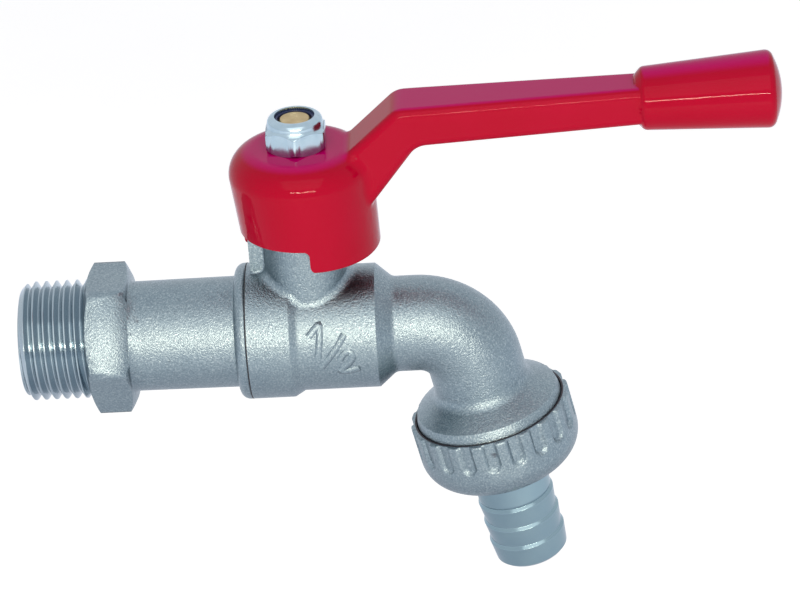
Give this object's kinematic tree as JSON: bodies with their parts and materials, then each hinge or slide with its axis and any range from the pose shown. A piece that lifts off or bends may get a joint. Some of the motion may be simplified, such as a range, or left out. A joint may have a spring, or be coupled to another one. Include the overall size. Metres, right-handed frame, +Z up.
{
  "type": "ball valve tap",
  "caption": "Lever ball valve tap: threaded inlet with hexagon, ball housing, cranked lever on the stem, down-turned spout and a barbed hose tail held by a notched union nut.",
  "frame": {"origin": "centre of the inlet thread at the shoulder of the hexagon, on the pipe axis", "axes": "+X along the pipe from the inlet to the spout, +Z up along the stem, lever open along +X"},
  "size_m": [0.133, 0.0288, 0.0971],
  "materials": {
    "nickel_cast": "nickel plate over sand-blasted cast brass, satin",
    "nickel_turned": "nickel plate over turned brass, bright",
    "plain_brass": "turned brass",
    "chrome_ball": "polished chrome plate",
    "red_enamel": "glossy red enamel over a casting",
    "zinc_steel": "bright zinc plate over steel",
    "navy_nylon": "dark blue nylon",
    "ptfe": "white PTFE",
    "black_rubber": "black rubber"
  },
  "bodies": {
    "valve": {"inlet_tail": "nickel_cast", "valve_body": "nickel_cast", "inlet_seat": "ptfe", "outlet_seat": "ptfe", "thrust_washer": "ptfe", "packing_ring_lower": "ptfe", "packing_ring_upper": "ptfe", "gland_nut": "plain_brass"},
    "lever": {"lever_handle": "red_enamel", "handle_nut": "zinc_steel", "nut_insert": "navy_nylon", "stem": "plain_brass", "ball": "chrome_ball"},
    "tail": {"hose_tail": "nickel_turned", "hose_washer": "black_rubber"},
    "nut": {"union_nut": "nickel_cast"}
  },
  "joints": [
    {"name": "lever_turn", "type": "hinge", "parent": "valve", "child": "lever", "pos_m": [0.0389, 0, 0], "axis": [0, 0, -1], "range_deg": [0, 90]},
    {"name": "tail_drop", "type": "slide", "parent": "valve", "child": "tail", "axis": [0.2113, 0, -0.9774], "range_m": [0, 0.0055]},
    {"name": "nut_turn", "type": "hinge", "parent": "tail", "child": "nut", "pos_m": [0.06924, 0, -0.0171], "axis": [0.2113, 0, -0.9774], "range_deg": [0, 1080]}
  ],
  "couplings": [
    {"joint": "tail_drop", "follows": "nut_turn", "m_per_rad": 0.00028871}
  ]
}
